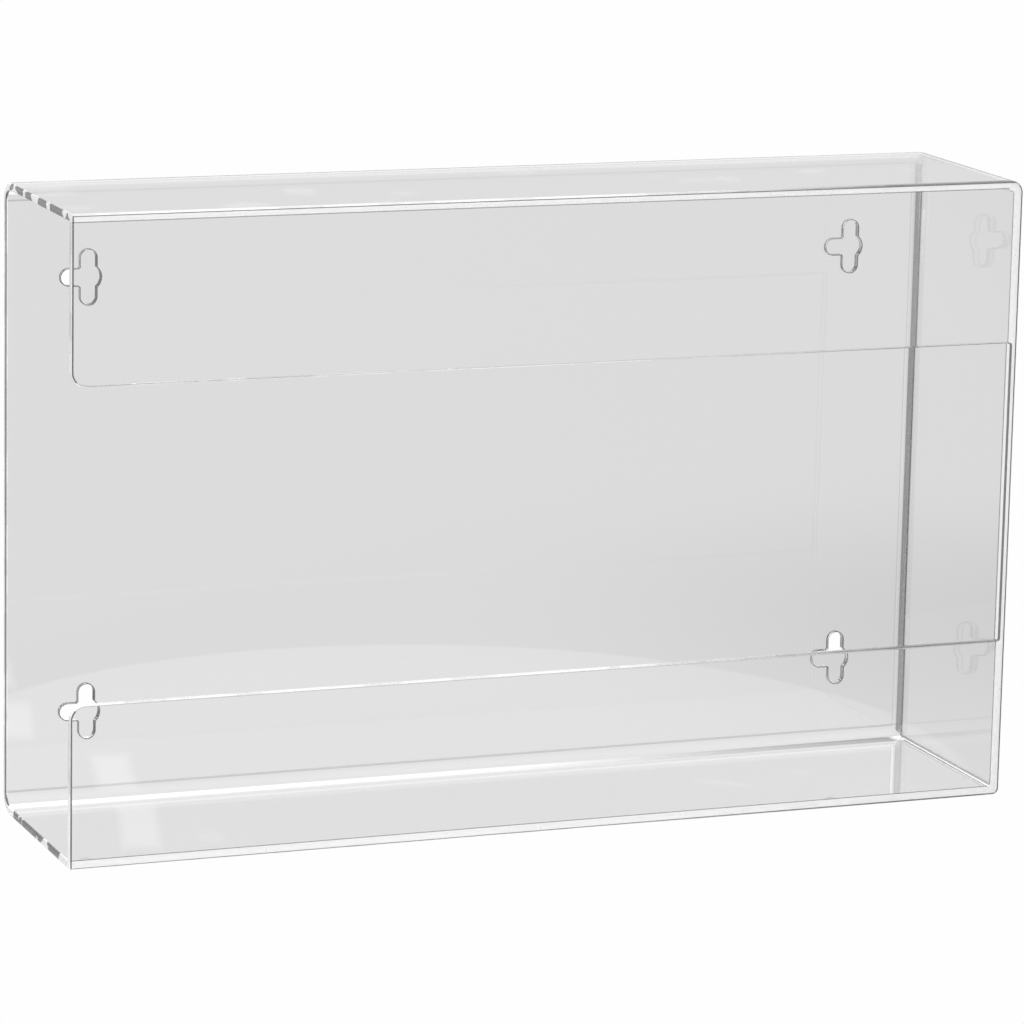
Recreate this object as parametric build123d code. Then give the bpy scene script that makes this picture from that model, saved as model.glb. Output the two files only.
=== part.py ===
"""Clear acrylic dispenser for three boxes of disposable gloves, to stand on a bench or hang on a wall.

Frame: millimetres, +X towards the closed end, +Y towards the wall, +Z up. The origin is at the middle of
the underside. One folded sheet makes the back, the top, the bottom and the closed end wall. A second,
flat sheet is cemented on its front rim. The end at -X is open, and the boxes slide in through it.
"""

from build123d import *
import os

# ---- Driving dimensions -------------------------------------------------------------------------

outer_width = 390.0  # X: three boxes of about 128 side by side, and the end wall
outer_height = 250.0  # Z: one box standing on end
outer_depth = 92.0  # Y: front face to wall face

body_sheet = 3.0  # thickness of the folded sheet
front_sheet = 3.0  # thickness of the flat sheet on the front

rear_bend_inside_radius = 5.0  # the folds between the back and the top and bottom plates
end_bend_inside_radius = 2.0  # the fold between the top plate and the end wall
rear_seam_bead_radius = 3.5  # cement bead up the inside of the end wall, where it meets the back
floor_seam_bead_radius = 1.5  # cement bead along the inside of the end wall, where it meets the bottom
seam_edge_radius = 2.5  # the welded corner under the end wall, buffed round

upper_panel_height = 65.0  # front face above the window
lip_height = 64.0  # front face below the window
arm_corner_radius = 6.0  # free corners of the upper panel and the lip, at the open end
window_corner_radius = 1.0  # cutter radius in the closed corners of the window
eased_edge_radius = 0.4  # polished edges that hands and boxes touch

keyhole_side_inset = 33.0  # keyhole centre to the nearer end of the dispenser
keyhole_level_inset = 38.5  # keyhole centre to the top or the underside
keyhole_head_diameter = 10.0  # lets a screw head through
keyhole_slot_width = 6.4  # lets the shank through, and holds the head
keyhole_reach = 10.8  # keyhole centre to the end of each slot

# ---- Places worked out from them ----------------------------------------------------------------

left, right = -outer_width / 2, outer_width / 2
front, back = -outer_depth / 2, outer_depth / 2
rim = front + front_sheet  # the folded body's front edge, where the front sheet is cemented
wall_inside = right - body_sheet
back_inside = back - body_sheet
floor_inside = body_sheet
roof_inside = outer_height - body_sheet
window_low = lip_height
window_high = outer_height - upper_panel_height

rear_bend_outside_radius = rear_bend_inside_radius + body_sheet
end_bend_outside_radius = end_bend_inside_radius + body_sheet

# Corners of an outline are keyed by side, as (across, up) or, in the plan, (across, towards the wall).
low_right, high_right = ("high", "low"), ("high", "high")
outside_front_view_radii = {low_right: seam_edge_radius, high_right: end_bend_outside_radius}
inside_front_view_radii = {low_right: floor_seam_bead_radius, high_right: end_bend_inside_radius}


def rounded_rectangle(low, high, radii):
    """Rectangle between two corner points, with a radius at each corner that the radii name."""
    (u0, v0), (u1, v1) = low, high
    outline = Pos((u0 + u1) / 2, (v0 + v1) / 2) * Rectangle(u1 - u0, v1 - v0)
    for (u_side, v_side), radius in radii.items():
        corner = (u1 if u_side == "high" else u0, v1 if v_side == "high" else v0)
        outline = round_corner(outline, corner, radius)
    return outline


def round_corner(outline, corner, radius):
    """The outline, with its corner nearest to a point rounded."""
    nearest = outline.vertices().sort_by_distance((*corner, 0))[0]
    return fillet(nearest, radius)


def folded_block(x_span, y_span, z_span, rear_radius, front_view_radii, plan_radii):
    """Solid that three outlines have in common: the side view, the front view and the plan.

    A rear fold and the end fold then meet in a mitre, as they do in a folded sheet.
    """
    (x0, x1), (y0, y1), (z0, z1) = x_span, y_span, z_span
    rear_radii = {("high", "low"): rear_radius, ("high", "high"): rear_radius}
    side_view = rounded_rectangle((y0, z0), (y1, z1), rear_radii)
    front_view = rounded_rectangle((x0, z0), (x1, z1), front_view_radii)
    plan = rounded_rectangle((x0, y0), (x1, y1), plan_radii)
    along_x = extrude(Plane.YZ.offset(x0) * side_view, amount=x1 - x0)
    along_y = extrude(Plane.XZ.offset(-y1) * front_view, amount=y1 - y0)
    along_z = extrude(Plane.XY.offset(z0) * plan, amount=z1 - z0)
    return along_x & along_y & along_z


def keyhole_outline():
    """Three-way keyhole: a round head with slots up, down and towards the open end.

    The dispenser can hang level, upside down, or on end with its open end upwards.
    """
    head = Circle(keyhole_head_diameter / 2)
    upright_slot = SlotOverall(2 * keyhole_reach, keyhole_slot_width, rotation=90)
    open_end_slot = Pos(-keyhole_reach / 2, 0) * SlotOverall(keyhole_reach, keyhole_slot_width)
    return head + upright_slot + open_end_slot


def keyhole_cutters():
    """Four keyholes through the back panel, one near each corner."""
    span_x = outer_width - 2 * keyhole_side_inset
    span_z = outer_height - 2 * keyhole_level_inset
    outlines = Pos(0, outer_height / 2) * GridLocations(span_x, span_z, 2, 2) * keyhole_outline()
    behind = back + body_sheet
    return [extrude(Plane.XZ.offset(-behind) * outline, amount=3 * body_sheet) for outline in outlines]


def folded_body():
    """Back, top, bottom and closed end wall, folded from one sheet and welded along two seams."""
    outside = folded_block(
        (left, right), (rim, back), (0, outer_height),
        rear_bend_outside_radius, outside_front_view_radii, {},
    )
    # The hollow runs out past the open end and the front rim, so that both are cut clean.
    hollow = folded_block(
        (left - body_sheet, wall_inside), (rim - body_sheet, back_inside), (floor_inside, roof_inside),
        rear_bend_inside_radius, inside_front_view_radii, {("high", "high"): rear_seam_bead_radius},
    )
    body = outside - hollow
    body = fillet(open_end_edges(body), eased_edge_radius)
    return body - keyhole_cutters()


def open_end_edges(body):
    """Edges round the open end's cut face, without the two short ones on the front rim."""
    end_face = body.faces().sort_by(Axis.X)[0]
    return [edge for edge in end_face.edges() if edge.bounding_box().max.Y > rim + eased_edge_radius]


def front_panel():
    """Flat sheet with one wide window, open at the loading end."""
    outline = rounded_rectangle((left, 0), (right, outer_height), outside_front_view_radii)
    window_radii = {low_right: window_corner_radius, high_right: window_corner_radius}
    outline -= rounded_rectangle((left, window_low), (wall_inside, window_high), window_radii)
    for level in (window_low, window_high):
        outline = round_corner(outline, (left, level), arm_corner_radius)

    panel = extrude(Plane.XZ.offset(-rim) * outline, amount=front_sheet)
    front_face = panel.faces().sort_by(Axis.Y)[0]
    panel = fillet(front_face.edges(), eased_edge_radius)
    return fillet(free_rear_edges(panel), eased_edge_radius)


def free_rear_edges(panel):
    """Edges of the panel's rear face along the window and the arms' free corners, clear of the rim."""
    rear_face = panel.faces().sort_by(Axis.Y)[-1]
    edges = []
    for edge in rear_face.edges():
        box = edge.bounding_box()
        beside_window = window_low - arm_corner_radius < box.min.Z and box.max.Z < window_high + arm_corner_radius
        if beside_window and box.max.X < wall_inside:
            edges.append(edge)
    return edges


parts = {
    "folded_body": folded_body(),
    "front_panel": front_panel(),
}

os.makedirs("parts", exist_ok=True)
for name, shape in parts.items():
    shape.label = name
    export_step(shape, f"parts/{name}.step")
    print(f"{name}: {len(shape.solids())} solid, {shape.volume:.1f} mm3")
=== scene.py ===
"""Looks, light and camera for a clear acrylic dispenser that holds three boxes of gloves.

The rack is two pieces of 3 mm sheet: a folded body and a flat front that is cemented on its rim. Both are
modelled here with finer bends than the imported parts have, because clear sheet shows every facet.
All lengths are in metres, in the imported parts' own frame: +X to the closed end, +Y to the wall, +Z up.
"""
import logging
import math
from collections.abc import Sequence
from dataclasses import dataclass, field
from enum import Enum

import bmesh
import bpy
from mathutils import Matrix, Vector


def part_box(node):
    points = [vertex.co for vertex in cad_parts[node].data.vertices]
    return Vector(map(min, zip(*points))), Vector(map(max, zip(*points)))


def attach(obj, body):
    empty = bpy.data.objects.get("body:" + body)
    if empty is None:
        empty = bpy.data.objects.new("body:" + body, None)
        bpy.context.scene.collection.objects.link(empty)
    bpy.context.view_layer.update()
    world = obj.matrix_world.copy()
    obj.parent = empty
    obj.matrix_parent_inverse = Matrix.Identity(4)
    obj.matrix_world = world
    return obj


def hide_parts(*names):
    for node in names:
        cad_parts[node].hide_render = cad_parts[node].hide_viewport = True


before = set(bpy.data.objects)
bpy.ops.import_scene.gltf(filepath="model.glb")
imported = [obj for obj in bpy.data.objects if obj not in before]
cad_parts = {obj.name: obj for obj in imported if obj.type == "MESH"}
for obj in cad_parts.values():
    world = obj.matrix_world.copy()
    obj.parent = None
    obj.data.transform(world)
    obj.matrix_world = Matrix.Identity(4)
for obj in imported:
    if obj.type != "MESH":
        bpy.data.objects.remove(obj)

LOG = logging.getLogger("glove_dispenser")
MM = 0.001
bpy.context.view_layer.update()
SNAP = 1e-6  # points closer than this are one point
SQUARE = 0.999  # a normal with at least this share along an axis points along it
ARC_STEPS = 20  # segments in a right-angled bend
EASE_STEPS = 6  # segments in an eased edge
FLARE_ANGLES = (0, 30, 60, 90)  # steps of a keyhole's flared rim, in degrees
FLAT_ANGLE = math.radians(0.2)  # facets that meet at less than this are one flat face
SMOOTH_ANGLE = math.radians(24)  # facets that meet at less than this are shaded as one bend
ACRYLIC_IOR = 1.49
LIGHT_BOUNCES = 40

Colour = tuple[float, float, float, float]
Span = tuple[float, float]


class Side(Enum):
    """Plane that a flat outline is drawn in, and the axis that it is carried along."""

    SIDE_VIEW = "x"
    FRONT_VIEW = "y"
    PLAN = "z"

    def place(self, u: float, v: float, depth: float) -> Vector:
        """Puts a point of an outline into space.

        Args:
            u: first coordinate on the outline.
            v: second coordinate on the outline.
            depth: place along the axis.

        Returns:
            The point.
        """
        if self is Side.SIDE_VIEW:
            return Vector((depth, u, v))
        if self is Side.FRONT_VIEW:
            return Vector((u, depth, v))
        return Vector((u, v, depth))


class Cut(Enum):
    """What one solid does to another."""

    ADD = "UNION"
    REMOVE = "DIFFERENCE"
    KEEP_COMMON = "INTERSECT"


class Patch(Enum):
    """Kinds of surface on a piece of sheet, in the order of its material slots."""

    FACE = 0
    CUT_EDGE = 1
    CEMENT = 2
    WELD = 3
    # painted dark shade line on eased edges and keyhole rims, standing for total reflection in the sheet
    PAINTED_DARK_LINE = 4
    # painted grey shade line where a bend starts and along the window's eased level edges
    PAINTED_GREY_LINE = 5
    OPEN_END = 6


@dataclass(frozen=True)
class Corner:
    """Corner of a flat outline, with the radius that rounds it.

    Args:
        u: first coordinate.
        v: second coordinate.
        radius: rounding, or 0 for a sharp corner or a point on a straight edge.
    """

    u: float
    v: float
    radius: float = 0.0


@dataclass
class RackSizes:
    """Sizes that both pieces share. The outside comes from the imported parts.

    Args:
        low: least X, Y and Z of the folded body.
        high: greatest X, Y and Z of the folded body.
        front: Y of the front sheet's face.
        sheet: thickness of the sheet.
        rear_bend_inside: inside radius of the two bends at the back.
        end_bend_inside: inside radius of the bend between the top and the end wall.
        rear_seam_bead: radius of the weld bead between the back and the end wall.
        floor_seam_bead: radius of the weld bead between the bottom and the end wall.
        seam_edge: outside radius of the welded lower corner.
        polished_edge: radius of the eased edges.
        keyhole_rim: radius of a keyhole's flared rim.
        joint_line: width of the line of cement along the inside of the rim.
        cement_gap: room between a film of cement and the sheet's faces.
        upper_panel_height: height of the front sheet above the window.
        lip_height: height of the front sheet below the window.
        arm_corner: radius of the front sheet's corners at the window's open end.
        window_corner: radius of the window's corners at its closed end.
        keyhole_side_inset: distance from a keyhole's middle to the rack's end.
        keyhole_level_inset: distance from a keyhole's middle to the rack's top or underside.
        keyhole_head_radius: radius of a keyhole's round head.
        keyhole_slot_width: width of a keyhole's slots.
        keyhole_reach: distance from a keyhole's middle to the end of a slot.
    """

    low: Vector = field(default_factory=lambda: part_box("folded_body")[0])
    high: Vector = field(default_factory=lambda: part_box("folded_body")[1])
    front: float = field(default_factory=lambda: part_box("front_panel")[0].y)
    sheet: float = 3.0 * MM
    rear_bend_inside: float = 5.0 * MM
    end_bend_inside: float = 2.0 * MM
    rear_seam_bead: float = 3.5 * MM
    floor_seam_bead: float = 1.5 * MM
    seam_edge: float = 2.5 * MM
    polished_edge: float = 0.8 * MM
    keyhole_rim: float = 0.35 * MM
    joint_line: float = 0.4 * MM
    cement_gap: float = 0.02 * MM
    upper_panel_height: float = 65.0 * MM
    lip_height: float = 64.0 * MM
    arm_corner: float = 6.0 * MM
    window_corner: float = 1.0 * MM
    keyhole_side_inset: float = 33.0 * MM
    keyhole_level_inset: float = 38.5 * MM
    keyhole_head_radius: float = 5.0 * MM
    keyhole_slot_width: float = 6.4 * MM
    keyhole_reach: float = 10.8 * MM

    def __post_init__(self) -> None:
        """Works out the levels and planes that the pieces line up on."""
        self.left = self.low.x
        self.right = self.high.x
        self.rim = self.low.y
        self.back = self.high.y
        self.floor = 0.0
        self.roof = self.high.z
        self.wall_inside = self.right - self.sheet
        self.back_inside = self.back - self.sheet
        self.floor_inside = self.floor + self.sheet
        self.roof_inside = self.roof - self.sheet
        self.window_low = self.floor + self.lip_height
        self.window_high = self.roof - self.upper_panel_height
        self.rear_bends_start = self.back_inside - self.rear_bend_inside


def rounded_outline(corners: Sequence[Corner]) -> list[tuple[float, float]]:
    """Walks round an outline and turns each rounded corner into an arc.

    Args:
        corners: the corners in order.

    Returns:
        The outline's points, in the same order.
    """
    points = []
    for index, corner in enumerate(corners):
        here = Vector((corner.u, corner.v))
        if corner.radius == 0.0:
            points.append(tuple(here))
            continue
        before = corners[index - 1]
        after = corners[(index + 1) % len(corners)]
        back_along = (Vector((before.u, before.v)) - here).normalized()
        ahead = (Vector((after.u, after.v)) - here).normalized()
        centre = here + (back_along + ahead) * corner.radius
        for step in range(ARC_STEPS + 1):
            angle = math.pi / 2 * step / ARC_STEPS
            points.append(tuple(centre - ahead * corner.radius * math.cos(angle)
                                - back_along * corner.radius * math.sin(angle)))
    return points


def new_object(name: str, mesh: bpy.types.Mesh) -> bpy.types.Object:
    """Links a mesh into the scene as an object of the same name.

    Args:
        name: name of the mesh and of the object.
        mesh: the mesh.

    Returns:
        The new object.
    """
    mesh.name = name
    piece = bpy.data.objects.new(name, mesh)
    bpy.context.scene.collection.objects.link(piece)
    return piece


def loft(name: str, side: Side, sections: Sequence[tuple[float, Sequence[Corner]]]) -> bpy.types.Object:
    """Joins outlines that lie one behind another into a closed solid.

    Args:
        name: name of the new object.
        side: the outlines' plane.
        sections: depth along the axis and outline of each section, in order, with as many corners in each.

    Returns:
        The closed solid.
    """
    form = bmesh.new()
    rings = [[form.verts.new(side.place(u, v, depth)) for u, v in rounded_outline(corners)]
             for depth, corners in sections]
    form.faces.new(rings[0])
    form.faces.new(reversed(rings[-1]))
    count = len(rings[0])
    for ring, deeper in zip(rings, rings[1:]):
        for index in range(count):
            after = (index + 1) % count
            form.faces.new((ring[index], deeper[index], deeper[after], ring[after]))
    bmesh.ops.recalc_face_normals(form, faces=form.faces)
    mesh = bpy.data.meshes.new(name)
    form.to_mesh(mesh)
    form.free()
    return new_object(name, mesh)


def prism(name: str, side: Side, corners: Sequence[Corner], span: Span) -> bpy.types.Object:
    """Carries a flat outline along an axis, from the first to the second depth of its span."""
    return loft(name, side, [(depth, corners) for depth in span])


def block(
    name: str, spans: Sequence[Span], rear: float, top_end: float, low_end: float, rear_end: float
) -> bpy.types.Object:
    """Block with round rear edges and a round closed end, as the common part of three views.

    Args:
        name: name of the new object.
        spans: lowest and highest X, Y and Z.
        rear: radius along the two long rear edges.
        top_end: radius of the closed end's upper edge.
        low_end: radius of the closed end's lower edge.
        rear_end: radius of the closed end's rear edge.

    Returns:
        The closed block.
    """
    (x0, x1), (y0, y1), (z0, z1) = spans
    side_view = [Corner(y0, z0), Corner(y1, z0, rear), Corner(y1, z1, rear), Corner(y0, z1)]
    front_view = [Corner(x0, z0), Corner(x1, z0, low_end), Corner(x1, z1, top_end), Corner(x0, z1)]
    plan = [Corner(x0, y0), Corner(x1, y0), Corner(x1, y1, rear_end), Corner(x0, y1)]
    made = prism(name, Side.SIDE_VIEW, side_view, (x0, x1))
    combine(made, prism("front_view", Side.FRONT_VIEW, front_view, (y0, y1)), Cut.KEEP_COMMON)
    combine(made, prism("plan", Side.PLAN, plan, (z0, z1)), Cut.KEEP_COMMON)
    return made


def combine(target: bpy.types.Object, tool: bpy.types.Object, cut: Cut) -> None:
    """Adds, removes or intersects the target with a tool, which is used up.

    Args:
        target: the object that changes.
        tool: the object that changes it.
        cut: what the tool does.
    """
    modifier = target.modifiers.new("combine", "BOOLEAN")
    modifier.operation = cut.value
    modifier.solver = "EXACT"
    modifier.use_self = True
    modifier.object = tool
    apply_modifiers(target)
    bpy.data.objects.remove(tool)


def apply_modifiers(piece: bpy.types.Object) -> None:
    """Turns a piece's modifiers into plain mesh.

    Args:
        piece: the object that changes.
    """
    evaluated = piece.evaluated_get(bpy.context.evaluated_depsgraph_get())
    mesh = bpy.data.meshes.new_from_object(evaluated)
    mesh.name = piece.name
    piece.modifiers.clear()
    piece.data = mesh


def tidy_flats(form: bmesh.types.BMesh) -> None:
    """Joins the coplanar facets that cutting leaves, so that flat sheet is one face."""
    bmesh.ops.remove_doubles(form, verts=form.verts, dist=SNAP)
    bmesh.ops.dissolve_limit(form, angle_limit=FLAT_ANGLE, verts=form.verts, edges=form.edges)


def ease(form: bmesh.types.BMesh, edges: Sequence[bmesh.types.BMEdge], radius: float) -> None:
    """Rounds edges off by a small radius."""
    bmesh.ops.bevel(form, geom=list(edges), offset=radius, segments=EASE_STEPS, profile=0.5,
                    affect="EDGES", clamp_overlap=False)


def finish_normals(piece: bpy.types.Object) -> None:
    """Shades the bends smooth and keeps flat sheet optically flat right up to them.

    Args:
        piece: the object that changes.
    """
    for polygon in piece.data.polygons:
        polygon.use_smooth = True
    piece.data.set_sharp_from_angle(angle=SMOOTH_ANGLE)
    modifier = piece.modifiers.new("flat_faces", "WEIGHTED_NORMAL")
    modifier.mode = "FACE_AREA"
    modifier.weight = 100
    modifier.keep_sharp = True
    apply_modifiers(piece)


@dataclass
class SheetPiece:
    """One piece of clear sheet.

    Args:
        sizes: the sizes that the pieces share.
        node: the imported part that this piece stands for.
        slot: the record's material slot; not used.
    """

    sizes: RackSizes
    node: str
    slot: str

    def shape(self) -> bpy.types.Object:
        """Returns the finished mesh, in place."""
        raise NotImplementedError

    def patch(self, centre: Vector, normal: Vector) -> Patch:
        """Says which kind of surface a face is, from its middle and its normal."""
        raise NotImplementedError

    def build(self, materials: Sequence[bpy.types.Material]) -> bpy.types.Object:
        """Models, dresses and hangs the piece on the frame.

        Args:
            materials: one for each Patch, in order.

        Returns:
            The finished piece.
        """
        piece = self.shape()
        for material in materials:
            piece.data.materials.append(material)
        for polygon in piece.data.polygons:
            if polygon.material_index != Patch.WELD.value:
                polygon.material_index = self.patch(polygon.center, polygon.normal).value
        finish_normals(piece)
        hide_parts(self.node)
        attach(piece, "root")
        LOG.info("%s: %d faces", piece.name, len(piece.data.polygons))
        return piece


@dataclass
class FoldedBody(SheetPiece):
    """Back, top, bottom and closed end wall, folded from one sheet.

    Args:
        dark_line_tilt: least and greatest share of its normal that an eased facet of the back's end turns to
        the front where it gets the painted dark shade line.
        grey_line_tilt: least and greatest tilt of a bend's first facet, which gets a painted grey shade
            line.
        keyhole_wall_tilt: greatest tilt of a keyhole's straight wall; steeper rim facets get the painted
            dark shade line.
        plain_border: width along the top and bottom edges that no keyhole reaches.
    """

    node: str = "folded_body"
    slot: str = "clear_body_sheet"
    dark_line_tilt: Span = (0.3, 0.9)
    grey_line_tilt: Span = (0.01, 0.08)
    keyhole_wall_tilt: float = 0.1
    plain_border: float = 12.0 * MM

    def shape(self) -> bpy.types.Object:
        """Cuts the hollow and the keyholes out of the outside form, and eases the open end.

        Returns:
            The folded body.
        """
        s = self.sizes
        outside_spans = ((s.left, s.right), (s.rim, s.back), (s.floor, s.roof))
        body = block("clear_folded_body", outside_spans, s.rear_bend_inside + s.sheet,
                     s.end_bend_inside + s.sheet, s.seam_edge, 0.0)
        hollow_spans = ((s.left - s.sheet, s.wall_inside), (s.rim - s.sheet, s.back_inside),
                        (s.floor_inside, s.roof_inside))
        hollow = block("hollow", hollow_spans, s.rear_bend_inside, s.end_bend_inside,
                       s.floor_seam_bead, s.rear_seam_bead)
        combine(body, hollow, Cut.REMOVE)
        self.ease_open_end(body)
        for x in (s.left + s.keyhole_side_inset, s.right - s.keyhole_side_inset):
            for z in (s.floor + s.keyhole_level_inset, s.roof - s.keyhole_level_inset):
                combine(body, self.keyhole(x, z), Cut.REMOVE)
        self.add_cement(body)
        return body

    def cement_films(self) -> list[list[Vector]]:
        """Joint faces inside the two welded corners, and thin lines of cement along the inside of the rim.

        Returns:
            The four corners of each film.
        """
        s = self.sizes
        in_wall = (s.wall_inside + s.cement_gap, s.right - s.cement_gap)
        in_back = (s.back_inside + s.cement_gap, s.back - s.cement_gap)
        weld_height = (s.floor_inside + s.floor_seam_bead, s.roof_inside - s.rear_bend_inside)
        behind_front = s.rim + s.cement_gap
        films = (
            (Side.SIDE_VIEW, s.wall_inside, in_back, weld_height),
            (Side.FRONT_VIEW, s.back_inside, in_wall, weld_height),
            (Side.PLAN, s.floor_inside, in_wall, (behind_front, s.back_inside)),
            (Side.FRONT_VIEW, behind_front, (s.left, s.wall_inside - s.end_bend_inside),
             (s.roof_inside - s.joint_line, s.roof_inside)),
            (Side.FRONT_VIEW, behind_front, (s.left, s.wall_inside - s.floor_seam_bead),
             (s.floor_inside, s.floor_inside + s.joint_line)),
            (Side.FRONT_VIEW, behind_front, (s.wall_inside - s.joint_line, s.wall_inside),
             (s.floor_inside + s.floor_seam_bead, s.roof_inside - s.end_bend_inside)),
        )
        return [[side.place(u, v, depth) for u, v in ((u0, v0), (u1, v0), (u1, v1), (u0, v1))]
                for side, depth, (u0, u1), (v0, v1) in films]

    def add_cement(self, body: bpy.types.Object) -> None:
        """Adds the films of set cement to the body.

        Args:
            body: the folded body, which changes.
        """
        form = bmesh.new()
        form.from_mesh(body.data)
        bmesh.ops.remove_doubles(form, verts=form.verts, dist=SNAP)
        for film in self.cement_films():
            face = form.faces.new([form.verts.new(corner) for corner in film])
            face.material_index = Patch.WELD.value
        form.to_mesh(body.data)
        form.free()

    def ease_open_end(self, body: bpy.types.Object) -> None:
        """Rounds the cut edges of the open end, except where the front sheet meets them.

        Args:
            body: the folded body, which changes.
        """
        s = self.sizes
        form = bmesh.new()
        form.from_mesh(body.data)
        tidy_flats(form)
        at_end = [edge for edge in form.edges if all(abs(v.co.x - s.left) < SNAP for v in edge.verts)]
        free = [edge for edge in at_end if any(v.co.y > s.rim + SNAP for v in edge.verts)]
        ease(form, free, s.polished_edge)
        self.part_end_face(form)
        form.to_mesh(body.data)
        form.free()

    def part_end_face(self, form: bmesh.types.BMesh) -> None:
        """Parts the open end's face where the rear bends start, so that top and bottom have their own.

        Args:
            form: the folded body's mesh, which changes.
        """
        bends_start = Vector((0.0, self.sizes.rear_bends_start, 0.0))
        for end_face in [face for face in form.faces if face.normal.x < -SQUARE]:
            bmesh.ops.bisect_plane(form, geom=[end_face, *end_face.edges, *end_face.verts], dist=SNAP,
                                   plane_co=bends_start, plane_no=Vector((0.0, 1.0, 0.0)))

    def keyhole(self, x: float, z: float) -> bpy.types.Object:
        """Cutter for one three-way keyhole: a head with slots up, down and towards the open end.

        Args:
            x: where its middle is across the back.
            z: where its middle is above the underside.

        Returns:
            The closed cutter.
        """
        s = self.sizes
        half = s.keyhole_slot_width / 2
        reach = s.keyhole_reach
        head = s.keyhole_head_radius
        cutter = self.keyhole_slot("keyhole", (x - half, x + half), (z - reach, z + reach), half)
        across = self.keyhole_slot("across", (x - reach, x + half), (z - half, z + half), half)
        combine(cutter, across, Cut.ADD)
        combine(cutter, self.keyhole_slot("head", (x - head, x + head), (z - head, z + head), head), Cut.ADD)
        return cutter

    def keyhole_slot(self, name: str, across: Span, upward: Span, radius: float) -> bpy.types.Object:
        """Round-ended cutter through the back that flares where it leaves each face, as polished rims do.

        Args:
            name: name of the new object.
            across: its least and greatest X.
            upward: its least and greatest Z.
            radius: radius of its ends.

        Returns:
            The closed cutter.
        """
        s = self.sizes
        flares = [(s.keyhole_rim * (1 - math.cos(math.radians(angle))),
                   s.keyhole_rim * (1 - math.sin(math.radians(angle)))) for angle in FLARE_ANGLES]
        sections = [(s.back_inside - s.sheet, s.keyhole_rim)]
        sections += [(s.back_inside + depth, flare) for depth, flare in flares]
        sections += [(s.back - depth, flare) for depth, flare in reversed(flares)]
        sections += [(s.back + s.sheet, s.keyhole_rim)]
        return loft(name, Side.FRONT_VIEW, [
            (depth, [Corner(across[0] - flare, upward[0] - flare, radius + flare),
                     Corner(across[1] + flare, upward[0] - flare, radius + flare),
                     Corner(across[1] + flare, upward[1] + flare, radius + flare),
                     Corner(across[0] - flare, upward[1] + flare, radius + flare)])
            for depth, flare in sections])

    def patch(self, centre: Vector, normal: Vector) -> Patch:
        """Tells the rim, the open end, the keyholes and the starts of bends from the sheet's own faces.

        Args:
            centre: the face's middle.
            normal: the face's normal.

        Returns:
            The kind of surface.
        """
        s = self.sizes
        if normal.y < -SQUARE and abs(centre.y - s.rim) < SNAP:
            return Patch.CEMENT
        if centre.x < s.left + s.polished_edge + SNAP:
            return self.end_patch(centre, normal)
        within_back = s.back_inside < centre.y < s.back and centre.x < s.wall_inside - s.sheet
        off_edges = self.plain_border < centre.z < s.roof - self.plain_border
        if within_back and off_edges and abs(normal.y) < SQUARE:
            # the keyholes' flared rims get the painted dark shade line
            return Patch.PAINTED_DARK_LINE if abs(normal.y) > self.keyhole_wall_tilt else Patch.FACE
        tilts = sorted(abs(part) for part in normal)
        least, most = self.grey_line_tilt
        starts_bend = least < tilts[1] < most and tilts[0] < least
        # the first facet of each bend gets the painted grey shade line
        return Patch.PAINTED_GREY_LINE if starts_bend else Patch.FACE

    def end_patch(self, centre: Vector, normal: Vector) -> Patch:
        """Tells the open end's top and bottom, sawn and painted with shade, from the upright end of the
        back.

        Args:
            centre: the face's middle.
            normal: the face's normal.

        Returns:
            The kind of surface.
        """
        if centre.y < self.sizes.rear_bends_start:
            return Patch.OPEN_END
        least, most = self.dark_line_tilt
        # eased facets of the back's end get the painted dark shade line
        return Patch.PAINTED_DARK_LINE if least < -normal.y < most else Patch.CUT_EDGE


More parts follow.
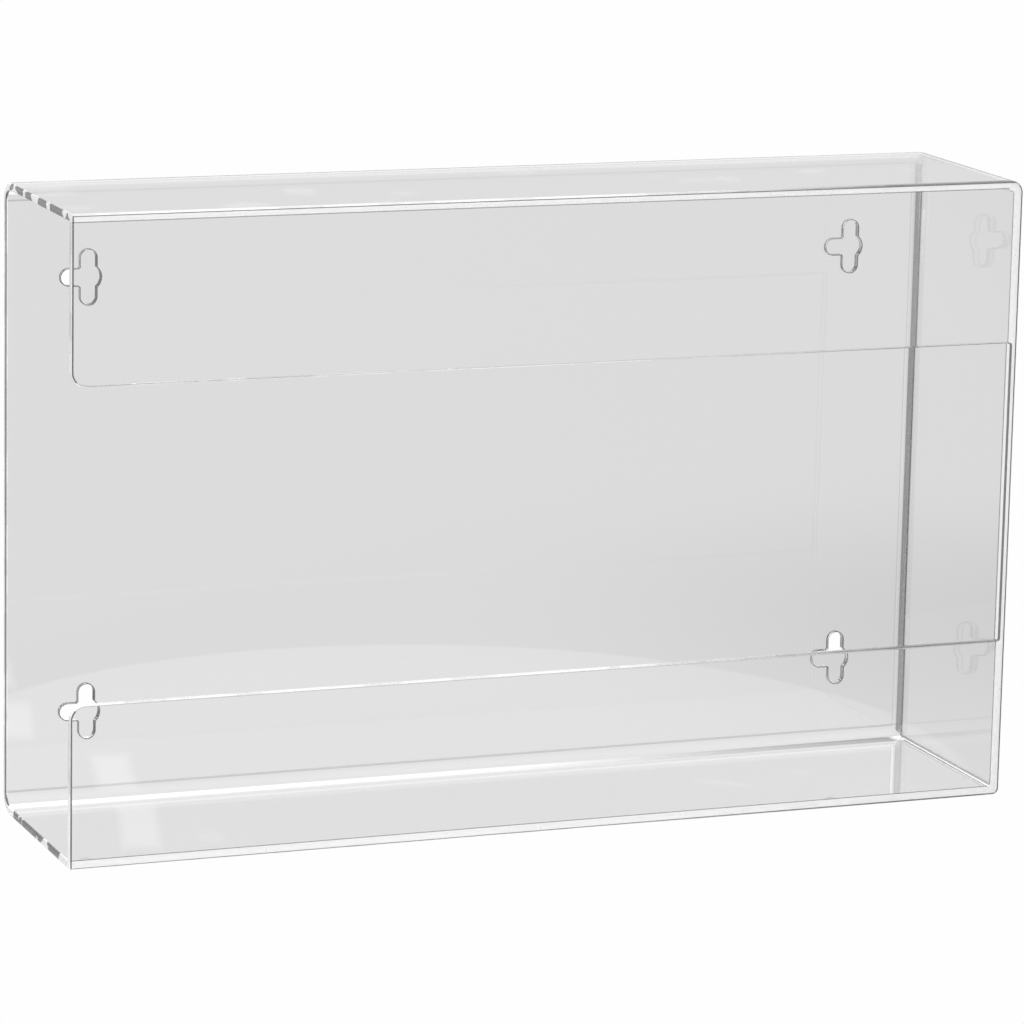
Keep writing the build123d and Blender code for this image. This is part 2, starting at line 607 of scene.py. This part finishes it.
@dataclass
class FrontPanel(SheetPiece):
    """Flat front sheet with one wide window, open at the loading end.

    Args:
        clear_tilt: greatest turn of the window's upright edge to the front or back where it stays clear of
            painted shade.
        upright_tilt: greatest turn of the other upright edges where they are still cut edge; past it,
            painted shade.
        level_tilt: greatest turn of the level edges where they are still cut edge; past it, painted shade
            lines.
        border_reach: how far from the closed end the middle of the cemented border lies at most.
    """

    node: str = "front_panel"
    slot: str = "clear_front_sheet"
    clear_tilt: float = 0.3
    upright_tilt: float = 0.7
    level_tilt: float = 0.85
    border_reach: float = 24.0 * MM

    def shape(self) -> bpy.types.Object:
        """Joins the front and rear faces by the cut edge all round, and eases the free edges.

        Returns:
            The front sheet.
        """
        s = self.sizes
        outline = rounded_outline(self.outline())
        form = bmesh.new()
        front_ring = [form.verts.new((u, s.front, v)) for u, v in outline]
        rear_ring = [form.verts.new((u, s.rim, v)) for u, v in outline]
        form.faces.new(front_ring)
        for index in range(len(outline)):
            after = (index + 1) % len(outline)
            form.faces.new((front_ring[index], front_ring[after], rear_ring[after], rear_ring[index]))
        for part in self.rear_faces():
            form.faces.new([form.verts.new((u, s.rim, v)) for u, v in rounded_outline(part)])
        bmesh.ops.remove_doubles(form, verts=form.verts, dist=SNAP)
        bmesh.ops.recalc_face_normals(form, faces=form.faces)
        ease(form, [edge for edge in form.edges if self.is_eased(edge)], s.polished_edge)
        mesh = bpy.data.meshes.new("clear_front_panel")
        form.to_mesh(mesh)
        form.free()
        return new_object("clear_front_panel", mesh)

    def outline(self) -> list[Corner]:
        """Whole outline, anticlockwise seen from the front, with points where the rim's inside meets it."""
        s = self.sizes
        return [
            Corner(s.left, s.floor),
            Corner(s.right, s.floor, s.seam_edge),
            Corner(s.right, s.roof, s.end_bend_inside + s.sheet),
            Corner(s.left, s.roof),
            Corner(s.left, s.roof_inside),
            Corner(s.left, s.window_high, s.arm_corner),
            Corner(s.wall_inside, s.window_high, s.window_corner),
            Corner(s.wall_inside, s.window_low, s.window_corner),
            Corner(s.left, s.window_low, s.arm_corner),
            Corner(s.left, s.floor_inside),
        ]

    def rear_faces(self) -> list[list[Corner]]:
        """Parts the rear face into the cemented border, the upper panel's back and the lip's back.

        Returns:
            The outline of each part.
        """
        s = self.sizes
        upper_window = Corner(s.wall_inside, s.window_high, s.window_corner)
        lower_window = Corner(s.wall_inside, s.window_low, s.window_corner)
        border = self.outline()[:5] + [
            Corner(s.wall_inside, s.roof_inside, s.end_bend_inside),
            Corner(s.wall_inside, s.window_high - s.window_corner),
            Corner(s.wall_inside, s.window_low + s.window_corner),
            Corner(s.wall_inside, s.floor_inside, s.floor_seam_bead),
            Corner(s.left, s.floor_inside),
        ]
        upper = [
            Corner(s.left, s.roof_inside),
            Corner(s.left, s.window_high, s.arm_corner),
            upper_window,
            Corner(s.wall_inside, s.window_high - s.window_corner),
            Corner(s.wall_inside, s.roof_inside, s.end_bend_inside),
        ]
        lower = [
            Corner(s.left, s.window_low, s.arm_corner),
            Corner(s.left, s.floor_inside),
            Corner(s.wall_inside, s.floor_inside, s.floor_seam_bead),
            Corner(s.wall_inside, s.window_low + s.window_corner),
            lower_window,
        ]
        return [border, upper, lower]

    def is_eased(self, edge: bmesh.types.BMEdge) -> bool:
        """Picks the front outline and the free rear edges beside the window.

        Args:
            edge: an edge of the sheet.

        Returns:
            True where it is rounded off.
        """
        s = self.sizes
        start, end = (vert.co for vert in edge.verts)
        if all(abs(point.y - s.front) < SNAP for point in (start, end)):
            return True
        on_rear = all(abs(point.y - s.rim) < SNAP for point in (start, end))
        reach = s.arm_corner + SNAP
        beside_window = all(s.window_low - reach < point.z < s.window_high + reach for point in (start, end))
        return on_rear and beside_window and max(start.x, end.x) < s.wall_inside - s.window_corner + SNAP

    def patch(self, centre: Vector, normal: Vector) -> Patch:
        """Tells the cemented border and the edges from the sheet's two faces.

        Args:
            centre: the face's middle.
            normal: the face's normal.

        Returns:
            The kind of surface.
        """
        s = self.sizes
        if abs(normal.y) < SQUARE:
            return self.edge_patch(centre, normal)
        is_border = centre.y > s.rim - SNAP and centre.x > s.right - self.border_reach
        return Patch.CEMENT if is_border else Patch.FACE

    def edge_patch(self, centre: Vector, normal: Vector) -> Patch:
        """Tells the cut edges from the painted dark and grey shade lines where they are eased.

        Args:
            centre: the face's middle.
            normal: the face's normal.

        Returns:
            The kind of surface. The window's upright edge is polished clear.
        """
        s = self.sizes
        turn = abs(normal.y)
        upright = abs(normal.x) > abs(normal.z)
        if upright and abs(centre.x - s.wall_inside) < s.polished_edge:
            return Patch.FACE if turn < self.clear_tilt else Patch.PAINTED_DARK_LINE
        if turn < (self.upright_tilt if upright else self.level_tilt):
            return Patch.CUT_EDGE
        outer = min(centre.z - s.floor, s.roof - centre.z) < s.polished_edge
        return Patch.PAINTED_DARK_LINE if upright or outer else Patch.PAINTED_GREY_LINE


class Nodes:
    """Short way to place and join the nodes of one tree."""

    def __init__(self, tree: bpy.types.NodeTree) -> None:
        """Keeps the tree and empties it."""
        self.tree = tree
        tree.nodes.clear()

    def add(self, kind: str, inputs: dict | None = None, **settings: object) -> bpy.types.Node:
        """Adds a node.

        Args:
            kind: the node's type.
            inputs: for each input, by name or number, a value or an output socket to join it to.
            settings: plain properties of the node.

        Returns:
            The new node.
        """
        node = self.tree.nodes.new(kind)
        for name, value in settings.items():
            setattr(node, name, value)
        for key, value in (inputs or {}).items():
            if isinstance(value, bpy.types.NodeSocket):
                self.tree.links.new(value, node.inputs[key])
            else:
                node.inputs[key].default_value = value
        return node

    def math(self, operation: str, *values: object) -> bpy.types.NodeSocket:
        """Adds a sum on numbers and returns its result."""
        return self.add("ShaderNodeMath", dict(enumerate(values)), operation=operation).outputs[0]

    def vector(self, operation: str, *values: object) -> bpy.types.NodeSocket:
        """Adds a sum on vectors and returns its result, which is also a vector."""
        node = self.add("ShaderNodeVectorMath", dict(enumerate(values)), operation=operation)
        return node.outputs["Vector"]

    def measure(self, operation: str, *values: object) -> bpy.types.NodeSocket:
        """Adds a sum on vectors and returns its result, which is a number."""
        node = self.add("ShaderNodeVectorMath", dict(enumerate(values)), operation=operation)
        return node.outputs["Value"]

    def parts(self, vector: bpy.types.NodeSocket) -> bpy.types.NodeOutputs:
        """Returns the X, Y and Z of a vector."""
        return self.add("ShaderNodeSeparateXYZ", {0: vector}).outputs

    def reach(self, vector: bpy.types.NodeSocket) -> bpy.types.NodeSocket:
        """Returns how far a vector reaches along X or Y, whichever is further."""
        size = self.parts(self.vector("ABSOLUTE", vector))
        return self.math("MAXIMUM", size["X"], size["Y"])

    def spread(
        self, value: bpy.types.NodeSocket, given: Span, wanted: Span = (0.0, 1.0), **settings: object
    ) -> bpy.types.NodeSocket:
        """Spreads one span of numbers over another and stops at its ends.

        Args:
            value: the number.
            given: the span that it comes in.
            wanted: what the two ends of that span turn into.
            settings: plain properties of the node.

        Returns:
            The result.
        """
        node = self.add("ShaderNodeMapRange", {
            "Value": value, "From Min": given[0], "From Max": given[1], "To Min": wanted[0],
            "To Max": wanted[1]}, **settings)
        return node.outputs["Result"]

    def place(self) -> bpy.types.NodeSocket:
        """Returns the place on the object."""
        return self.add("ShaderNodeTexCoord").outputs["Object"]


def grey(level: float) -> Colour:
    """Returns an even grey, from 0 for black to 1 for white."""
    return (level, level, level, 1.0)


def new_material(name: str) -> tuple[bpy.types.Material, Nodes]:
    """Starts a material.

    Args:
        name: the material's name.

    Returns:
        The material and its empty node tree.
    """
    made = bpy.data.materials.new(name)
    made.use_nodes = True
    return made, Nodes(made.node_tree)


@dataclass(frozen=True)
class HandlingMarks:
    """Hairline wiping scratches and dust specks.

    Args:
        turn: lean of the scratches, in radians.
        fineness: scratches and their runs in a metre, along each axis.
        scratch_level: noise levels between which a scratch fades in.
        grains: places in a metre that a speck can be in.
        speck_size: size of a speck, as a share of such a place, from its rim to its middle.
    """

    turn: tuple[float, float, float] = (0.3, 0.5, 0.2)
    fineness: tuple[float, float, float] = (40.0, 40.0, 2700.0)
    scratch_level: Span = (0.72, 0.8)
    grains: float = 45.0
    speck_size: Span = (0.022, 0.012)

    def group(self) -> bpy.types.NodeTree:
        """Makes the node group.

        Returns:
            The group, with inputs Scratches and Specks and the output Mask.
        """
        group = bpy.data.node_groups.new("handling_marks", "ShaderNodeTree")
        for label in ("Scratches", "Specks"):
            socket = group.interface.new_socket(label, in_out="INPUT", socket_type="NodeSocketFloat")
            socket.default_value = 0.5
        group.interface.new_socket("Mask", in_out="OUTPUT", socket_type="NodeSocketFloat")
        nodes = Nodes(group)
        given = nodes.add("NodeGroupInput").outputs
        place = nodes.place()
        turned = nodes.add("ShaderNodeMapping", {
            "Vector": place, "Rotation": self.turn, "Scale": self.fineness})
        hairs = nodes.add("ShaderNodeTexNoise", {
            "Vector": turned.outputs["Vector"], "Scale": 1.0, "Detail": 0.0})
        scratches = nodes.spread(hairs.outputs["Fac"], self.scratch_level)
        cells = nodes.add("ShaderNodeTexVoronoi", {"Vector": place, "Scale": self.grains})
        specks = nodes.spread(cells.outputs["Distance"], self.speck_size)
        mask = nodes.math("MAXIMUM", nodes.math("MULTIPLY", scratches, given["Scratches"]),
                          nodes.math("MULTIPLY", specks, given["Specks"]))
        nodes.add("NodeGroupOutput", {"Mask": mask})
        return group


@dataclass(frozen=True)
class AcrylicFinish:
    """Clear cast acrylic, which with a dark or grey tint also paints shade lines.

    Args:
        name: the material's name.
        tint: colour that one surface lets through; a dark or grey tint is painted shade.
        scratches: how strongly wiping scratches show.
        specks: how strongly dust specks show.
        marked_roughness: how blurred a scratch or speck is.
        lamp_light: share of a lamp's light that each surface lets through.
    """

    name: str
    tint: Colour
    scratches: float = 0.0
    specks: float = 0.0
    marked_roughness: float = 0.25
    lamp_light: float = 0.92

    def material(self, marks: bpy.types.NodeTree) -> bpy.types.Material:
        """Makes the material.

        Args:
            marks: the group of handling marks.

        Returns:
            A glass-like material that lets lamps shine through the sheet.
        """
        made, nodes = new_material(self.name)
        mark = nodes.add("ShaderNodeGroup", node_tree=marks)
        mark.inputs["Scratches"].default_value = self.scratches
        mark.inputs["Specks"].default_value = self.specks
        blur = nodes.spread(mark.outputs["Mask"], (0.0, 1.0), (0.0, self.marked_roughness))
        surface = nodes.add("ShaderNodeBsdfPrincipled", {
            "Base Color": self.tint, "Roughness": blur, "IOR": ACRYLIC_IOR, "Metallic": 0.0,
            "Transmission Weight": 1.0})
        clear = nodes.add("ShaderNodeBsdfTransparent", {"Color": grey(self.lamp_light)})
        path = nodes.add("ShaderNodeLightPath")
        shown = nodes.add("ShaderNodeMixShader", {0: path.outputs["Is Shadow Ray"], 1: surface.outputs[0],
                                                  2: clear.outputs[0]})
        nodes.add("ShaderNodeOutputMaterial", {"Surface": shown.outputs[0]})
        return made


@dataclass(frozen=True)
class SawnFrostWithPaintedShade:
    """Cut edge of the sheet, frosted by the saw in places, with painted shade in the clear places and
    towards the closed end.

    Args:
        name: the material's name.
        light: colour where the edge is frosted.
        dark: painted shade where the edge is clear, which stands for the sheet's dark depth.
        patches: how many patches there are in a metre.
        clear_share: noise level below which a patch gets the painted shade.
        closed_end_painted_level: how much of its brightness the edge keeps at the closed end, as painted
            shade.
        frost: share of the light that the edge scatters.
        roughness: how blurred the edge is.
        softness: half the span of noise levels over which a patch fades.
        painted_shade_span: X at which the painted shade starts to darken the edge and at which it is
            darkest.
    """

    name: str
    light: Colour
    dark: Colour
    patches: float
    clear_share: float
    closed_end_painted_level: float = 1.0
    frost: float = 0.7
    roughness: float = 0.1
    softness: float = 0.02
    painted_shade_span: Span = (0.02, 0.14)

    def material(self) -> bpy.types.Material:
        """Makes the material.

        Returns:
            A partly frosted glass-like material with painted shade.
        """
        made, nodes = new_material(self.name)
        place = nodes.place()
        saw = nodes.add("ShaderNodeTexNoise", {"Vector": place, "Scale": self.patches, "Detail": 1.0})
        frosted = nodes.spread(saw.outputs["Fac"], (self.clear_share - self.softness,
                                                    self.clear_share + self.softness))
        colour = nodes.add("ShaderNodeMix", {"Factor": frosted, 6: self.dark, 7: self.light},
                           data_type="RGBA")
        # painted shade: the edge darkens towards the closed end
        painted_closed_end_fade = nodes.spread(nodes.parts(place)["X"], self.painted_shade_span, (1.0, self.closed_end_painted_level))
        shaded = nodes.add("ShaderNodeVectorMath", {0: colour.outputs[2], "Scale": painted_closed_end_fade},
                           operation="SCALE")
        surface = nodes.add("ShaderNodeBsdfPrincipled", {
            "Base Color": shaded.outputs["Vector"], "Roughness": self.roughness, "IOR": ACRYLIC_IOR,
            "Metallic": 0.0, "Transmission Weight": 1.0 - self.frost})
        nodes.add("ShaderNodeOutputMaterial", {"Surface": surface.outputs[0]})
        return made


@dataclass(frozen=True)
class CementFilm:
    """Solvent cement that has set in a joint; it can also carry a painted glow.

    Args:
        name: the material's name.
        colour: colour of the set cement.
        cover: how much of what lies behind the film it hides.
        painted_glow: painted glow, an emission standing for light that the sheet pipes to the joint.
        bubbles: fine bubbles in a metre.
        bubble_size: a bubble's size, as a share of the room between them, from its middle to its rim.
        bubble_cover: share of the film's cover that is left in a bubble.
        roughness: how dull the film is.
    """

    name: str
    colour: Colour
    cover: float
    painted_glow: float = 0.0
    bubbles: float = 300.0
    bubble_size: Span = (0.05, 0.1)
    bubble_cover: float = 0.6
    roughness: float = 0.9

    def material(self) -> bpy.types.Material:
        """Makes the material.

        Returns:
            A thin film that lets some light through, with a few fine bubbles and any painted glow.
        """
        made, nodes = new_material(self.name)
        cells = nodes.add("ShaderNodeTexVoronoi", {"Vector": nodes.place(), "Scale": self.bubbles})
        film = nodes.spread(cells.outputs["Distance"], self.bubble_size,
                            (self.bubble_cover * self.cover, self.cover))
        # painted glow: the film emits light though it is no lamp
        surface = nodes.add("ShaderNodeBsdfPrincipled", {
            "Base Color": self.colour, "Roughness": self.roughness, "Specular IOR Level": 0.0,
            "Emission Color": self.colour, "Emission Strength": self.painted_glow, "Alpha": film})
        nodes.add("ShaderNodeOutputMaterial", {"Surface": surface.outputs[0]})
        return made


@dataclass(frozen=True)
class Fade:
    """Brightness that changes along one measure, such as a height or a distance.

    Args:
        steps: pairs of a measure and the brightness there, from the least measure up.
    """

    steps: tuple[Span, ...]

    def add_to(self, nodes: Nodes, measure: bpy.types.NodeSocket) -> bpy.types.NodeSocket:
        """Adds a ramp that turns the measure into the brightness.

        Args:
            nodes: the tree.
            measure: the socket that carries the measure.

        Returns:
            The brightness.
        """
        least, most = self.steps[0][0], self.steps[-1][0]
        ramp = nodes.add("ShaderNodeValToRGB", {"Fac": nodes.spread(measure, (least, most))})
        stops = ramp.color_ramp.elements
        while len(stops) < len(self.steps):
            stops.new(0.5)
        for stop, (place, level) in zip(stops, self.steps):
            stop.position = (place - least) / (most - least)
            stop.color = grey(level)
        return ramp.outputs["Color"]


@dataclass(frozen=True)
class Pane:
    """Soft pane of window light on the floor.

    Args:
        middle: X and Y of its middle.
        width: its width.
        length: its length.
        turn: turn from +Y towards -X, in degrees.
    """

    middle: tuple[float, float]
    width: float
    length: float
    turn: float


@dataclass
class Studio:
    """White sweep for the lens, and a soft grey studio for everything that the sheet bends or mirrors.

    Heights are sines of the angle above the horizon. Distances on the floor are in metres.

    Args:
        heading: direction the lens looks in, from +Y towards +X, in degrees.
        paper_white: brightness of the sweep as the lens sees it.
        floor_level: height of the paper, just clear of the rack's underside.
        floor_reach: how far the paper runs each way.
        disc_glow: how much brighter the round stand under the rack is than the paper round it.
        disc_radius: radius of that stand.
        disc_edge: half the width of the stand's soft edge.
        disc_middle: the stand's middle on the floor.
        behind: brightness of the room behind the rack by height.
        before: brightness of the room on the lens's side by height.
        room_blend: how far from the plane between the two they blend.
        across: brightness of the floor by distance to the right of the line of sight, from the rack back.
        in_front: brightness of the floor on the lens's side of the rack.
        front_blend: distances along the line of sight between which the floor turns from one to the other.
        shadow_middle: middle of the soft shadow behind the closed end.
        shadow_reach: how far that shadow spreads.
        shadow_depth: how much it darkens the floor.
        gathered: brightness of the light that the lower edges gather on the stand, from left to right.
        rear_strip: inset from the back, and half width, of the strip of that light under the rear bend.
        front_strip: the same for the strips under the front sheet and under the end wall.
        strip_margin: how far the strips run out past the rack.
        panes: the soft panes of window light on the floor in front.
        pane_glow: how much brighter they are than the paper round them.
        pane_edge: shares of a pane's half size between which its light fades out.
    """

    heading: float
    paper_white: float = 0.991
    floor_level: float = -0.2 * MM
    floor_reach: float = 12.0
    disc_glow: float = 0.055
    disc_radius: float = 0.218
    disc_edge: float = 2.0 * MM
    disc_middle: tuple[float, float] = (-0.005, 0.060)
    behind: Fade = Fade(((0.0, 1.0), (0.10, 1.0), (0.125, 0.75), (0.16, 0.75), (0.18, 1.2), (0.225, 1.2),
                         (0.238, 0.68), (0.28, 0.68), (0.30, 1.25), (0.60, 1.25), (0.68, 0.4), (0.80, 0.4),
                         (0.90, 1.0), (1.0, 1.0)))
    before: Fade = Fade(((0.0, 0.9), (0.10, 0.9), (0.34, 1.3), (0.75, 1.6), (1.0, 1.6)))
    room_blend: float = 0.1
    across: Fade = Fade(((-3.0, 1.15), (-1.35, 1.1), (-1.2, 0.71), (-0.5, 0.715), (0.27, 0.70), (0.6, 0.62),
                         (1.6, 0.5)))
    in_front: float = 0.80
    front_blend: Span = (-0.35, -0.22)
    shadow_middle: tuple[float, float] = (0.42, 0.20)
    shadow_reach: float = 0.36
    shadow_depth: float = 0.12
    gathered: Fade = Fade(((-0.2, 1.25), (0.02, 1.1), (0.12, 0.55), (0.188, 0.35), (0.191, 1.2), (0.2, 1.2)))
    rear_strip: Span = (3.0 * MM, 4.5 * MM)
    front_strip: Span = (1.0 * MM, 2.5 * MM)
    strip_margin: float = 2.0 * MM
    panes: tuple[Pane, ...] = (Pane((-0.136, -0.182), 0.0155, 0.056, 13.0),
                               Pane((-0.151, -0.098), 0.0150, 0.064, 15.0))
    pane_glow: float = 1.0
    pane_edge: Span = (0.7, 1.2)

    def __post_init__(self) -> None:
        """Works out the line of sight along the floor, and the direction to its right."""
        turn = math.radians(self.heading)
        self.sight = (math.sin(turn), math.cos(turn), 0.0)
        self.rightward = (math.cos(turn), -math.sin(turn), 0.0)

    def build(self, sizes: RackSizes) -> None:
        """Lays the floor under the rack and lights the room."""
        self.lay_floor(sizes)
        self.light_room()

    def lay_floor(self, sizes: RackSizes) -> None:
        """Makes the floor, white to the lens and grey to the sheet.

        Args:
            sizes: the rack's sizes.
        """
        reach = self.floor_reach
        corners = [(x, y, self.floor_level) for x, y in ((-reach, -reach), (reach, -reach), (reach, reach),
                                                         (-reach, reach))]
        mesh = bpy.data.meshes.new("floor")
        mesh.from_pydata(corners, [], [(0, 1, 2, 3)])
        floor = new_object("floor", mesh)
        paper, nodes = new_material("sweep_paper")
        place = nodes.place()
        from_middle = nodes.measure("DISTANCE", place, (*self.disc_middle, 0.0))
        edge = (self.disc_radius - self.disc_edge, self.disc_radius + self.disc_edge)
        on_disc = nodes.spread(from_middle, edge, (self.disc_glow, 0.0))
        plain = nodes.math("ADD", self.paper_shade(nodes, place), on_disc)
        shade = nodes.add("ShaderNodeMix", {
            "Factor": self.edge_strips(nodes, place, sizes), "A": plain,
            "B": self.gathered.add_to(nodes, nodes.parts(place)["X"])}, data_type="FLOAT")
        self.add_light(nodes, shade.outputs["Result"], "ShaderNodeEmission", "ShaderNodeOutputMaterial")
        floor.data.materials.append(paper)

    def paper_shade(self, nodes: Nodes, place: bpy.types.NodeSocket) -> bpy.types.NodeSocket:
        """Shades the paper across the line of sight, in the soft shadow and in front of the rack.

        Args:
            nodes: the tree.
            place: the place on the floor.

        Returns:
            The brightness of the paper.
        """
        aside = nodes.measure("DOT_PRODUCT", place, self.rightward)
        ahead = nodes.measure("DOT_PRODUCT", place, self.sight)
        in_shadow = nodes.measure("DISTANCE", place, (*self.shadow_middle, 0.0))
        shadow = nodes.spread(in_shadow, (0.0, self.shadow_reach), (self.shadow_depth, 0.0),
                              interpolation_type="SMOOTHSTEP")
        lit = nodes.math("SUBTRACT", self.across.add_to(nodes, aside), shadow)
        shade = nodes.add("ShaderNodeMix", {"Factor": nodes.spread(ahead, self.front_blend),
                                            "A": self.in_front, "B": lit}, data_type="FLOAT")
        return self.window_light(nodes, place, shade.outputs["Result"])

    def window_light(
        self, nodes: Nodes, place: bpy.types.NodeSocket, shade: bpy.types.NodeSocket
    ) -> bpy.types.NodeSocket:
        """Adds the soft panes of window light to the floor in front.

        Args:
            nodes: the tree.
            place: the place on the floor.
            shade: the brightness of the floor without them.

        Returns:
            The brightness of the floor with them.
        """
        for pane in self.panes:
            turned = nodes.add("ShaderNodeMapping", {
                "Vector": place, "Location": (*pane.middle, 0.0),
                "Scale": (pane.width / 2, pane.length / 2, 1.0),
                "Rotation": (0.0, 0.0, math.radians(pane.turn))}, vector_type="TEXTURE")
            glow = nodes.spread(nodes.reach(turned.outputs["Vector"]), self.pane_edge, (self.pane_glow, 0.0))
            shade = nodes.math("ADD", glow, shade)
        return shade

    def edge_strips(
        self, nodes: Nodes, place: bpy.types.NodeSocket, sizes: RackSizes
    ) -> bpy.types.NodeSocket:
        """Masks the strips of floor that lie under the rear bend, the front sheet and the end wall.

        Args:
            nodes: the tree.
            place: the place on the floor.
            sizes: the rack's sizes.

        Returns:
            A mask, 1 under those edges and 0 elsewhere.
        """
        at = nodes.parts(place)
        rear_inset, rear_half = self.rear_strip
        front_inset, front_half = self.front_strip
        rear = nodes.math("COMPARE", at["Y"], sizes.back - rear_inset, rear_half)
        front = nodes.math("COMPARE", at["Y"], sizes.front + front_inset, front_half)
        wall = nodes.math("COMPARE", at["X"], sizes.right - front_inset, front_half)
        strips = nodes.math("MAXIMUM", nodes.math("MAXIMUM", rear, front), wall)
        off_middle = nodes.vector("SUBTRACT", place, (0.0, (sizes.front + sizes.back) / 2, 0.0))
        half_size = ((sizes.right - sizes.left) / 2 + self.strip_margin,
                     (sizes.back - sizes.front) / 2 + self.strip_margin, 1.0)
        within = nodes.math("LESS_THAN", nodes.reach(nodes.vector("DIVIDE", off_middle, half_size)), 1.0)
        return nodes.math("MULTIPLY", strips, within)

    def light_room(self) -> None:
        """Makes the room that the sheet shows, which the lens sees as plain white."""
        world = bpy.data.worlds.new("studio")
        world.use_nodes = True
        nodes = Nodes(world.node_tree)
        way = nodes.add("ShaderNodeTexCoord").outputs["Generated"]
        height = nodes.parts(way)["Z"]
        ahead = nodes.measure("DOT_PRODUCT", way, self.sight)
        side = nodes.spread(ahead, (-self.room_blend, self.room_blend))
        shade = nodes.add("ShaderNodeMix", {
            "Factor": side, "A": self.before.add_to(nodes, height), "B": self.behind.add_to(nodes, height)},
            data_type="FLOAT")
        self.add_light(nodes, shade.outputs["Result"], "ShaderNodeBackground", "ShaderNodeOutputWorld")
        bpy.context.scene.world = world

    def add_light(self, nodes: Nodes, shade: bpy.types.NodeSocket, glow: str, output: str) -> None:
        """Ends a tree in a light of one shade for bent and mirrored rays, and in white for the lens.

        Args:
            nodes: the tree.
            shade: the brightness that the sheet shows.
            glow: the kind of node that gives light.
            output: the kind of node that ends the tree.
        """
        soft = nodes.add(glow, {"Color": shade})
        white = nodes.add(glow, {"Color": grey(self.paper_white)})
        path = nodes.add("ShaderNodeLightPath")
        seen = nodes.add("ShaderNodeMixShader", {0: path.outputs["Is Camera Ray"], 1: soft.outputs[0],
                                                 2: white.outputs[0]})
        nodes.add(output, {"Surface": seen.outputs[0]})


@dataclass
class ProductCamera:
    """Long lens on a tripod, in front of the open end and a little above the rack.

    Args:
        position: where the lens is.
        heading: turn from +Y towards +X, in degrees.
        tilt: how far it looks down, in degrees.
        roll: lean of the tripod head, in degrees.
        focal: focal length in millimetres.
        sensor: width of the sensor in millimetres.
        shift: lens shift, as a share of the picture's width.
        far_end: distance beyond which nothing is shown.
    """

    position: tuple[float, float, float] = (-0.7380, -1.8776, 0.5401)
    heading: float = 21.404
    tilt: float = 12.001
    roll: float = 1.208
    focal: float = 183.85
    sensor: float = 36.0
    shift: tuple[float, float] = (0.0034, 0.0167)
    far_end: float = 100.0

    def build(self) -> None:
        """Makes it the scene's camera."""
        heading = math.radians(self.heading)
        tilt = math.radians(self.tilt)
        roll = math.radians(self.roll)
        forward = Vector((math.sin(heading) * math.cos(tilt), math.cos(heading) * math.cos(tilt),
                          -math.sin(tilt)))
        level = Vector((math.cos(heading), -math.sin(heading), 0.0))
        upright = level.cross(forward)
        right = level * math.cos(roll) + upright * math.sin(roll)
        up = right.cross(forward)
        lens = bpy.data.cameras.new("camera")
        lens.sensor_width = self.sensor
        lens.lens = self.focal
        lens.shift_x, lens.shift_y = self.shift
        lens.clip_end = self.far_end
        camera = bpy.data.objects.new("camera", lens)
        turned = Matrix((right, up, -forward)).transposed().to_4x4()
        camera.matrix_world = Matrix.Translation(self.position) @ turned
        bpy.context.scene.collection.objects.link(camera)
        bpy.context.scene.camera = camera


def set_light_paths() -> None:
    """Lets light run far enough inside the sheet to come out at its cut edges."""
    scene = bpy.context.scene
    scene.view_settings.view_transform = "Standard"
    scene.cycles.max_bounces = LIGHT_BOUNCES
    scene.cycles.transmission_bounces = LIGHT_BOUNCES
    scene.cycles.glossy_bounces = LIGHT_BOUNCES
    scene.cycles.transparent_max_bounces = LIGHT_BOUNCES
    scene.cycles.blur_glossy = 0.0
    scene.cycles.sample_clamp_indirect = 0.0


def sheet_materials() -> list[bpy.types.Material]:
    """Makes the materials of the clear sheet and of its joints.

    Returns:
        One material for each Patch, in order.
    """
    marks = HandlingMarks().group()
    polished = AcrylicFinish("polished_acrylic", grey(1.0), scratches=0.3, specks=0.4)
    # frosted cut edge with painted shade in its clear patches and towards the closed end
    cut = SawnFrostWithPaintedShade("cut_edge_painted_shade", grey(0.95), grey(0.80), patches=60.0, clear_share=0.45, closed_end_painted_level=0.2)
    # set cement with a painted glow where the sheet's piped light comes out
    cement = CementFilm("set_cement_painted_glow", grey(0.95), cover=0.85, painted_glow=0.18)
    weld = CementFilm("weld_line", grey(0.05), cover=0.6)
    # painted dark shade line: near-black tint where eased edges stand for total reflection
    rim = AcrylicFinish("painted_dark_line", grey(0.05))
    # painted grey shade line at the start of each bend and along the window's eased level edges
    fold = AcrylicFinish("painted_grey_line", (0.6, 0.61, 0.61, 1.0))
    # sawn open end: frost in patches, with near-black painted shade between them
    end = SawnFrostWithPaintedShade("open_end_painted_shade", grey(0.97), grey(0.12), patches=120.0, clear_share=0.52)
    dressed = {
        Patch.FACE: polished.material(marks),
        Patch.CUT_EDGE: cut.material(),
        Patch.CEMENT: cement.material(),
        Patch.WELD: weld.material(),
        Patch.PAINTED_DARK_LINE: rim.material(marks),
        Patch.PAINTED_GREY_LINE: fold.material(marks),
        Patch.OPEN_END: end.material(),
    }
    return [dressed[patch] for patch in Patch]


def main() -> None:
    """Builds the camera, the studio and the two pieces of the rack."""
    logging.basicConfig(level=logging.INFO, format="%(name)s: %(message)s")
    camera = ProductCamera()
    camera.build()
    sizes = RackSizes()
    Studio(camera.heading).build(sizes)
    materials = sheet_materials()
    for piece in (FoldedBody(sizes), FrontPanel(sizes)):
        piece.build(materials)
    set_light_paths()


if __name__ == "__main__":
    main()
